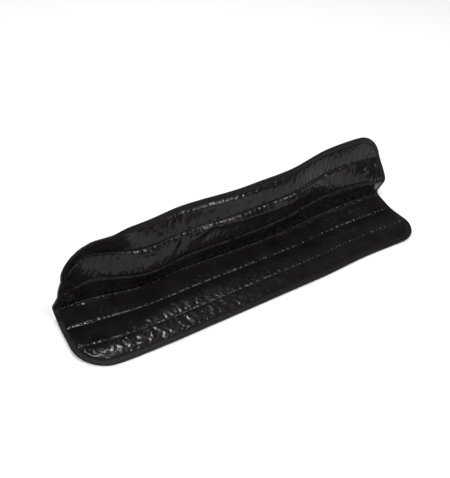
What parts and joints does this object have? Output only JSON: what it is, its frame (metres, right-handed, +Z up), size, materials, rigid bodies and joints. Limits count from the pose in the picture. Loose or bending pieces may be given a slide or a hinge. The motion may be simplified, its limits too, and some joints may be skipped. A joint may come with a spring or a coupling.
{
  "type": "padded ski divider",
  "caption": "Quilted padded divider that lies under one pair of skis and stands up between it and a second pair, to keep edges and bindings apart.",
  "frame": {"origin": "middle of the pad's footprint, on the surface that it lies on", "axes": "+X along the skis and the pad's long side, +Y from the free edge of the flap towards the wall, +Z up"},
  "size_m": [0.813, 0.168, 0.1675],
  "materials": {
    "shell_fabric": "coated woven nylon, black, satin",
    "padding_foam": "soft open-cell foam, off-white",
    "binding_tape": "ribbed woven nylon tape, black, matt",
    "sewing_thread": "bonded nylon thread, black, slight sheen"
  },
  "bodies": {
    "flap": {"flap_foam": "padding_foam", "flap_inner_fabric": "shell_fabric", "flap_outer_fabric": "shell_fabric", "flap_binding": "binding_tape", "flap_binding_thread": "sewing_thread"},
    "floor_front": {"floor_front_foam": "padding_foam", "floor_front_inner_fabric": "shell_fabric", "floor_front_outer_fabric": "shell_fabric", "floor_front_binding": "binding_tape", "floor_front_binding_thread": "sewing_thread", "flap_seam_thread": "sewing_thread", "floor_seam_thread": "sewing_thread"},
    "floor_rear": {"floor_rear_foam": "padding_foam", "floor_rear_inner_fabric": "shell_fabric", "floor_rear_outer_fabric": "shell_fabric", "floor_rear_binding": "binding_tape", "floor_rear_binding_thread": "sewing_thread", "foot_seam_thread": "sewing_thread"},
    "wall_lower": {"wall_lower_foam": "padding_foam", "wall_lower_inner_fabric": "shell_fabric", "wall_lower_outer_fabric": "shell_fabric", "wall_lower_binding": "binding_tape", "wall_lower_binding_thread": "sewing_thread", "wall_seam_thread": "sewing_thread"},
    "wall_middle": {"wall_middle_foam": "padding_foam", "wall_middle_inner_fabric": "shell_fabric", "wall_middle_outer_fabric": "shell_fabric", "wall_middle_binding": "binding_tape", "wall_middle_binding_thread": "sewing_thread", "top_seam_thread": "sewing_thread"},
    "wall_top": {"wall_top_foam": "padding_foam", "wall_top_inner_fabric": "shell_fabric", "wall_top_outer_fabric": "shell_fabric", "wall_top_binding": "binding_tape", "wall_top_binding_thread": "sewing_thread"}
  },
  "joints": [
    {"name": "flap_fold", "type": "hinge", "parent": "floor_front", "child": "flap", "pos_m": [0, -0.03, 0.0055], "axis": [-1, 0, 0], "range_deg": [0, 100]},
    {"name": "floor_fold", "type": "hinge", "parent": "floor_front", "child": "floor_rear", "pos_m": [0, 0.024, 0.0055], "axis": [1, 0, 0], "range_deg": [0, 45]},
    {"name": "foot_fold", "type": "hinge", "parent": "floor_rear", "child": "wall_lower", "pos_m": [0, 0.078, 0.0055], "axis": [1, 0, 0], "range_deg": [-90, 30]},
    {"name": "wall_fold", "type": "hinge", "parent": "wall_lower", "child": "wall_middle", "pos_m": [0, 0.078, 0.0595], "axis": [-1, 0, 0], "range_deg": [-60, 30]},
    {"name": "top_fold", "type": "hinge", "parent": "wall_middle", "child": "wall_top", "pos_m": [0, 0.078, 0.1135], "axis": [-1, 0, 0], "range_deg": [-90, 60]}
  ]
}
